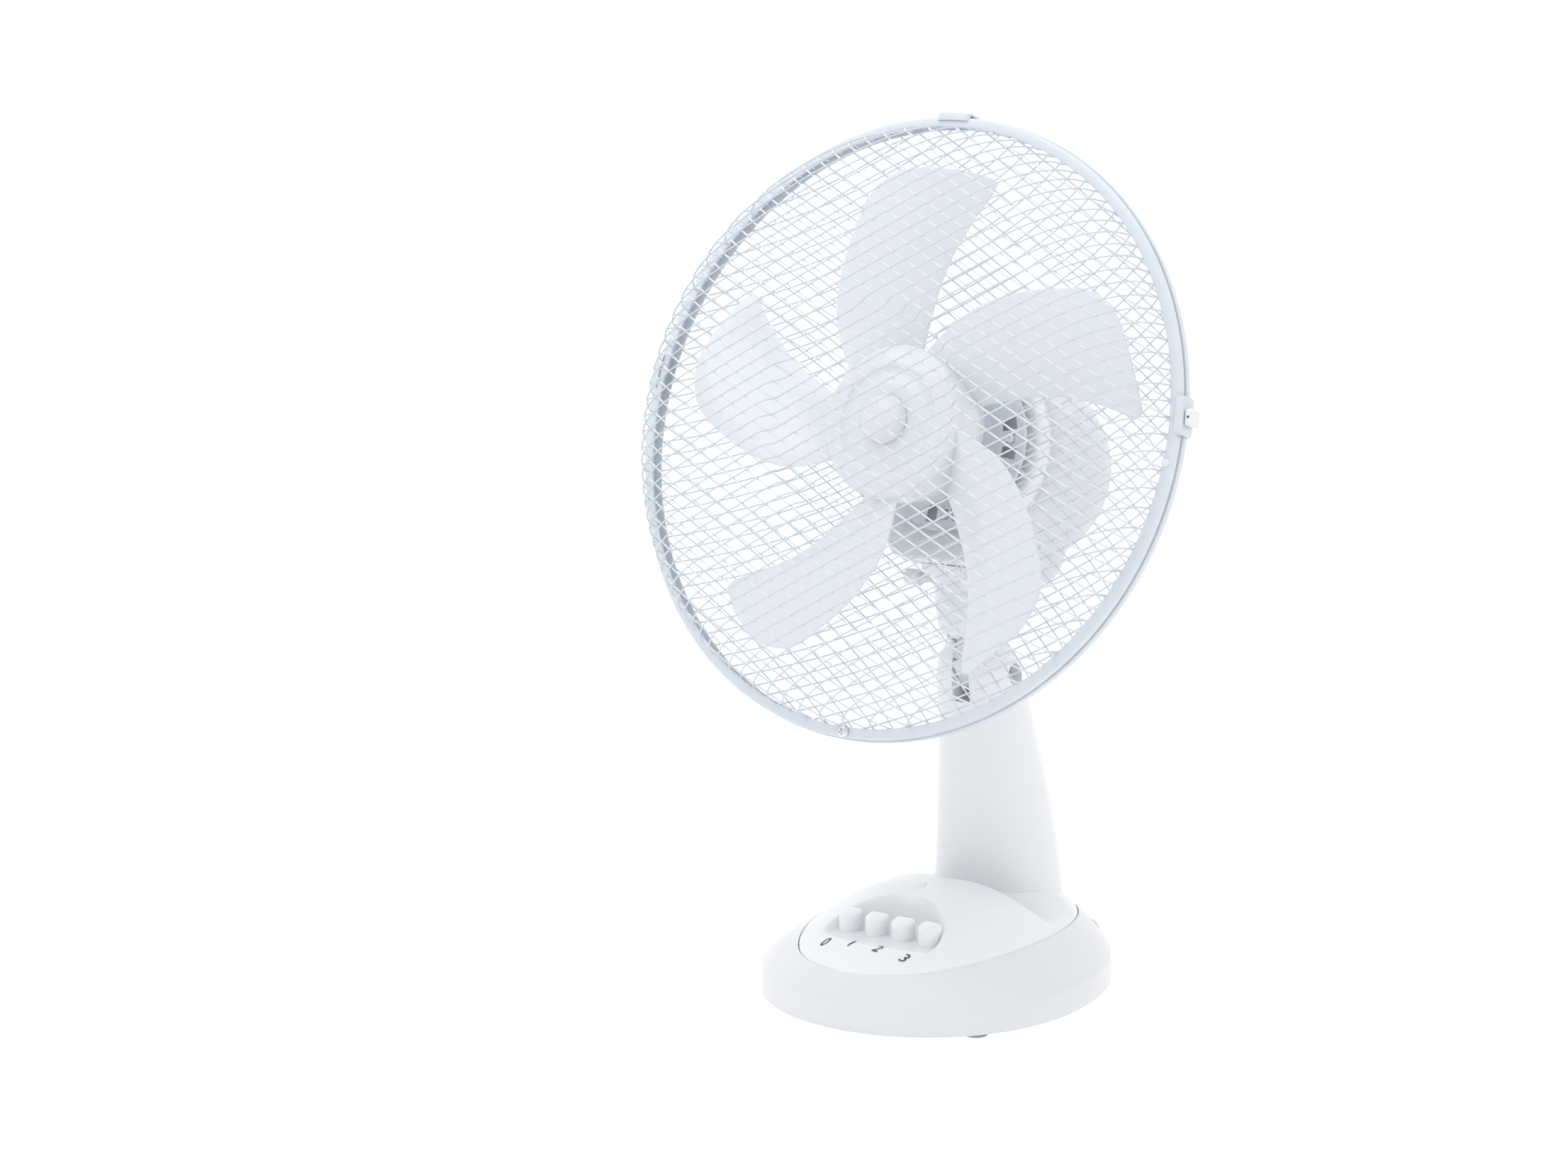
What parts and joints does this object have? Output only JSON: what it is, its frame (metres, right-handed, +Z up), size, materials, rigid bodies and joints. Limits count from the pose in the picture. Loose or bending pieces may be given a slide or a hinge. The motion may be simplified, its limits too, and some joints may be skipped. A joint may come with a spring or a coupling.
{
  "type": "desk fan",
  "caption": "Oscillating desk fan on an oval base with piano keys, a tapered pillar, a round wire guard and a wide-bladed rotor.",
  "frame": {"origin": "on the floor, under the middle of the fan's bounding box", "axes": "+Z up, air leaves towards -Y, +X to the fan's left as it faces the user"},
  "size_m": [0.4451, 0.2995, 0.62],
  "materials": {
    "white_plastic": "satin moulded",
    "blade_plastic": "polished moulded",
    "coated_wire": "powder coated",
    "coated_steel": "powder coated",
    "zinc_steel": "zinc plated",
    "cast_alloy": "as cast",
    "laminations": "stacked sheet",
    "copper": "enamelled wire",
    "bronze": "sintered",
    "grey_rubber": "matt",
    "nylon": "satin moulded"
  },
  "bodies": {
    "base": {"base_shell": "white_plastic", "base_plate": "white_plastic", "base_screw_1": "zinc_steel", "base_screw_2": "zinc_steel", "base_screw_3": "zinc_steel", "base_screw_4": "zinc_steel", "foot_1": "grey_rubber", "foot_2": "grey_rubber", "foot_3": "grey_rubber", "foot_4": "grey_rubber", "cord_grommet": "grey_rubber", "control_cover": "white_plastic", "switch_block": "nylon", "pillar": "white_plastic", "tilt_bolt": "zinc_steel", "tilt_nut": "zinc_steel"},
    "off_key": {"key_off": "white_plastic"},
    "low_key": {"key_low": "white_plastic"},
    "medium_key": {"key_medium": "white_plastic"},
    "high_key": {"key_high": "white_plastic"},
    "neck": {"neck": "white_plastic", "tilt_bracket": "coated_steel", "swivel_bush": "bronze"},
    "lock": {"lock_knob": "white_plastic"},
    "head": {"end_bell_front": "cast_alloy", "end_bell_rear": "cast_alloy", "stator_core": "laminations", "winding_front": "copper", "winding_rear": "copper", "bearing_front": "bronze", "bearing_rear": "bronze", "swivel_pin": "zinc_steel", "gearbox_case": "cast_alloy", "rear_housing": "white_plastic", "front_housing": "white_plastic", "front_rim": "coated_steel", "rear_rim": "coated_steel", "front_mesh": "coated_wire", "rear_mesh": "coated_wire", "rear_disc": "coated_steel", "motor_nose": "white_plastic", "guard_nut": "white_plastic", "clip_top": "coated_steel", "clip_right": "coated_steel", "clip_left": "coated_steel", "guard_screw": "zinc_steel"},
    "rotor": {"motor_shaft": "zinc_steel", "rotor_core": "laminations", "fan_blade": "blade_plastic", "spinner": "white_plastic"},
    "crank": {"worm_wheel": "nylon"},
    "link": {"crank_link": "zinc_steel"},
    "clutch": {"clutch_knob": "white_plastic"},
    "latch": {"rim_latch": "white_plastic"}
  },
  "joints": [
    {"name": "off_press", "type": "slide", "parent": "base", "child": "off_key", "axis": [0, 0, -1], "range_m": [0, 0.004], "stiffness_N_per_m": 400, "springref_m": -0.001},
    {"name": "low_press", "type": "slide", "parent": "base", "child": "low_key", "axis": [0, 0, -1], "range_m": [0, 0.004], "stiffness_N_per_m": 400, "springref_m": -0.001},
    {"name": "medium_press", "type": "slide", "parent": "base", "child": "medium_key", "axis": [0, 0, -1], "range_m": [0, 0.004], "stiffness_N_per_m": 400, "springref_m": -0.001},
    {"name": "high_press", "type": "slide", "parent": "base", "child": "high_key", "axis": [0, 0, -1], "range_m": [0, 0.004], "stiffness_N_per_m": 400, "springref_m": -0.001},
    {"name": "head_tilt", "type": "hinge", "parent": "base", "child": "neck", "pos_m": [0, 0.0482, 0.222], "axis": [1, 0, 0], "range_deg": [-8, 24]},
    {"name": "lock_turn", "type": "hinge", "parent": "neck", "child": "lock", "pos_m": [-0.04, 0.0287, 0.288], "axis": [1, 0, 0], "range_deg": [-180, 180]},
    {"name": "head_swing", "type": "hinge", "parent": "neck", "child": "head", "pos_m": [0, 0.0654, 0.37184], "axis": [0, 0.3123, 0.95], "range_deg": [-35, 35]},
    {"name": "rotor_spin", "type": "hinge", "parent": "head", "child": "rotor", "pos_m": [0, -0.0467, 0.4087], "axis": [0, -0.95, 0.3123], "continuous": true},
    {"name": "crank_turn", "type": "hinge", "parent": "head", "child": "crank", "pos_m": [0, 0.0901, 0.36372], "axis": [0, 0.3123, 0.95], "range_deg": [-55.5, 55.5]},
    {"name": "link_turn", "type": "hinge", "parent": "crank", "child": "link", "pos_m": [0, 0.07594, 0.36837], "axis": [0, 0.3123, 0.95], "range_deg": [-91, 91]},
    {"name": "clutch_pull", "type": "slide", "parent": "head", "child": "clutch", "axis": [0, 0.3123, 0.95], "range_m": [0, 0.006]},
    {"name": "latch_swing", "type": "hinge", "parent": "head", "child": "latch", "pos_m": [0.2198, -0.03808, 0.43492], "axis": [0, -0.95, 0.3123], "range_deg": [0, 60]}
  ],
  "couplings": [
    {"joint": "crank_turn", "follows": "head_swing", "ratio": 1.5714},
    {"joint": "link_turn", "follows": "head_swing", "ratio": -2.5714}
  ]
}
